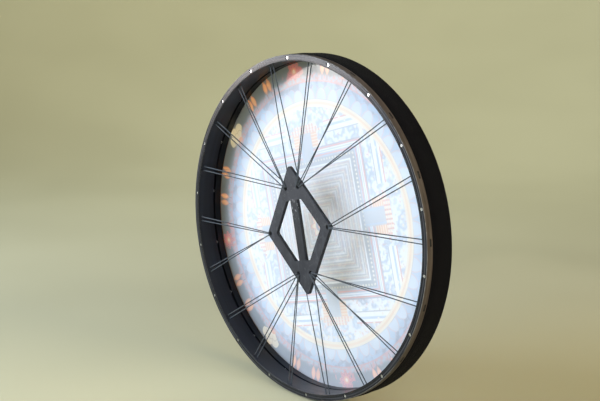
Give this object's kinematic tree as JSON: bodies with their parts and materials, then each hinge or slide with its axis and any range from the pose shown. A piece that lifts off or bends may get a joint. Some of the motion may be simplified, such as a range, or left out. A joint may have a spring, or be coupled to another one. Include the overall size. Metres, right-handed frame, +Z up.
{
  "type": "frame drum",
  "caption": "Large round hand drum: thin film head on a black wooden hoop, tuned by set screws from the rear edge, with a laced diamond hand grip inside.",
  "frame": {"origin": "on the drum's axis, in the middle of the grip plate's thickness, where the hand holds it", "axes": "+Y along the drum's axis from the open side to the head, +Z up as held upright, +X to the right seen from the open side"},
  "size_m": [0.6636, 0.0618, 0.6636],
  "materials": {
    "black_painted_wood": "satin black paint over bent plywood",
    "grip_paint": "matte dark grey paint over plywood",
    "printed_film": "clear glossy film with a printed round pattern",
    "canvas_tape": "black woven canvas tape",
    "lace_cord": "dark braided polyester cord",
    "bright_steel": "bright zinc-plated steel",
    "insert_metal": "plain turned brass"
  },
  "bodies": {
    "shell": {"shell": "black_painted_wood", "drumhead_hem": "printed_film", "hem_staples": "bright_steel", "rim_tape": "canvas_tape", "grip_plate": "grip_paint", "lace": "lace_cord", "lace_knot": "lace_cord", "threaded_inserts": "insert_metal"},
    "bearing_ring": {"bearing_ring": "black_painted_wood", "drumhead": "printed_film", "thrust_discs": "bright_steel"},
    "tuning_screw_01": {"tuning_screw_01": "bright_steel"},
    "tuning_screw_02": {"tuning_screw_02": "bright_steel"},
    "tuning_screw_03": {"tuning_screw_03": "bright_steel"},
    "tuning_screw_04": {"tuning_screw_04": "bright_steel"},
    "tuning_screw_05": {"tuning_screw_05": "bright_steel"},
    "tuning_screw_06": {"tuning_screw_06": "bright_steel"},
    "tuning_screw_07": {"tuning_screw_07": "bright_steel"},
    "tuning_screw_08": {"tuning_screw_08": "bright_steel"},
    "tuning_screw_09": {"tuning_screw_09": "bright_steel"},
    "tuning_screw_10": {"tuning_screw_10": "bright_steel"},
    "tuning_screw_11": {"tuning_screw_11": "bright_steel"},
    "tuning_screw_12": {"tuning_screw_12": "bright_steel"},
    "tuning_screw_13": {"tuning_screw_13": "bright_steel"},
    "tuning_screw_14": {"tuning_screw_14": "bright_steel"},
    "tuning_screw_15": {"tuning_screw_15": "bright_steel"},
    "tuning_screw_16": {"tuning_screw_16": "bright_steel"},
    "tuning_screw_17": {"tuning_screw_17": "bright_steel"},
    "tuning_screw_18": {"tuning_screw_18": "bright_steel"}
  },
  "joints": [
    {"name": "ring_slide", "type": "slide", "parent": "shell", "child": "bearing_ring", "axis": [0, 1, 0], "range_m": [-0.001, 0.003]},
    {"name": "screw_01_turn", "type": "hinge", "parent": "bearing_ring", "child": "tuning_screw_01", "pos_m": [-0.02711, 0, 0.32286], "axis": [0, 1, 0], "range_deg": [-360, 1080]},
    {"name": "screw_02_turn", "type": "hinge", "parent": "bearing_ring", "child": "tuning_screw_02", "pos_m": [0.08495, 0, 0.31267], "axis": [0, 1, 0], "range_deg": [-360, 1080]},
    {"name": "screw_03_turn", "type": "hinge", "parent": "bearing_ring", "child": "tuning_screw_03", "pos_m": [0.18676, 0, 0.26475], "axis": [0, 1, 0], "range_deg": [-360, 1080]},
    {"name": "screw_04_turn", "type": "hinge", "parent": "bearing_ring", "child": "tuning_screw_04", "pos_m": [0.26605, 0, 0.18491], "axis": [0, 1, 0], "range_deg": [-360, 1080]},
    {"name": "screw_05_turn", "type": "hinge", "parent": "bearing_ring", "child": "tuning_screw_05", "pos_m": [0.31325, 0, 0.08276], "axis": [0, 1, 0], "range_deg": [-360, 1080]},
    {"name": "screw_06_turn", "type": "hinge", "parent": "bearing_ring", "child": "tuning_screw_06", "pos_m": [0.32267, 0, -0.02936], "axis": [0, 1, 0], "range_deg": [-360, 1080]},
    {"name": "screw_07_turn", "type": "hinge", "parent": "bearing_ring", "child": "tuning_screw_07", "pos_m": [0.29316, 0, -0.13795], "axis": [0, 1, 0], "range_deg": [-360, 1080]},
    {"name": "screw_08_turn", "type": "hinge", "parent": "bearing_ring", "child": "tuning_screw_08", "pos_m": [0.2283, 0, -0.2299], "axis": [0, 1, 0], "range_deg": [-360, 1080]},
    {"name": "screw_09_turn", "type": "hinge", "parent": "bearing_ring", "child": "tuning_screw_09", "pos_m": [0.1359, 0, -0.29412], "axis": [0, 1, 0], "range_deg": [-360, 1080]},
    {"name": "screw_10_turn", "type": "hinge", "parent": "bearing_ring", "child": "tuning_screw_10", "pos_m": [0.02711, 0, -0.32286], "axis": [0, 1, 0], "range_deg": [-360, 1080]},
    {"name": "screw_11_turn", "type": "hinge", "parent": "bearing_ring", "child": "tuning_screw_11", "pos_m": [-0.08495, 0, -0.31267], "axis": [0, 1, 0], "range_deg": [-360, 1080]},
    {"name": "screw_12_turn", "type": "hinge", "parent": "bearing_ring", "child": "tuning_screw_12", "pos_m": [-0.18676, 0, -0.26475], "axis": [0, 1, 0], "range_deg": [-360, 1080]},
    {"name": "screw_13_turn", "type": "hinge", "parent": "bearing_ring", "child": "tuning_screw_13", "pos_m": [-0.26605, 0, -0.18491], "axis": [0, 1, 0], "range_deg": [-360, 1080]},
    {"name": "screw_14_turn", "type": "hinge", "parent": "bearing_ring", "child": "tuning_screw_14", "pos_m": [-0.31325, 0, -0.08276], "axis": [0, 1, 0], "range_deg": [-360, 1080]},
    {"name": "screw_15_turn", "type": "hinge", "parent": "bearing_ring", "child": "tuning_screw_15", "pos_m": [-0.32267, 0, 0.02936], "axis": [0, 1, 0], "range_deg": [-360, 1080]},
    {"name": "screw_16_turn", "type": "hinge", "parent": "bearing_ring", "child": "tuning_screw_16", "pos_m": [-0.29316, 0, 0.13795], "axis": [0, 1, 0], "range_deg": [-360, 1080]},
    {"name": "screw_17_turn", "type": "hinge", "parent": "bearing_ring", "child": "tuning_screw_17", "pos_m": [-0.2283, 0, 0.2299], "axis": [0, 1, 0], "range_deg": [-360, 1080]},
    {"name": "screw_18_turn", "type": "hinge", "parent": "bearing_ring", "child": "tuning_screw_18", "pos_m": [-0.1359, 0, 0.29412], "axis": [0, 1, 0], "range_deg": [-360, 1080]}
  ],
  "couplings": [
    {"joint": "screw_01_turn", "follows": "ring_slide", "rad_per_m": 6283},
    {"joint": "screw_02_turn", "follows": "ring_slide", "rad_per_m": 6283},
    {"joint": "screw_03_turn", "follows": "ring_slide", "rad_per_m": 6283},
    {"joint": "screw_04_turn", "follows": "ring_slide", "rad_per_m": 6283},
    {"joint": "screw_05_turn", "follows": "ring_slide", "rad_per_m": 6283},
    {"joint": "screw_06_turn", "follows": "ring_slide", "rad_per_m": 6283},
    {"joint": "screw_07_turn", "follows": "ring_slide", "rad_per_m": 6283},
    {"joint": "screw_08_turn", "follows": "ring_slide", "rad_per_m": 6283},
    {"joint": "screw_09_turn", "follows": "ring_slide", "rad_per_m": 6283},
    {"joint": "screw_10_turn", "follows": "ring_slide", "rad_per_m": 6283},
    {"joint": "screw_11_turn", "follows": "ring_slide", "rad_per_m": 6283},
    {"joint": "screw_12_turn", "follows": "ring_slide", "rad_per_m": 6283},
    {"joint": "screw_13_turn", "follows": "ring_slide", "rad_per_m": 6283},
    {"joint": "screw_14_turn", "follows": "ring_slide", "rad_per_m": 6283},
    {"joint": "screw_15_turn", "follows": "ring_slide", "rad_per_m": 6283},
    {"joint": "screw_16_turn", "follows": "ring_slide", "rad_per_m": 6283},
    {"joint": "screw_17_turn", "follows": "ring_slide", "rad_per_m": 6283},
    {"joint": "screw_18_turn", "follows": "ring_slide", "rad_per_m": 6283}
  ]
}
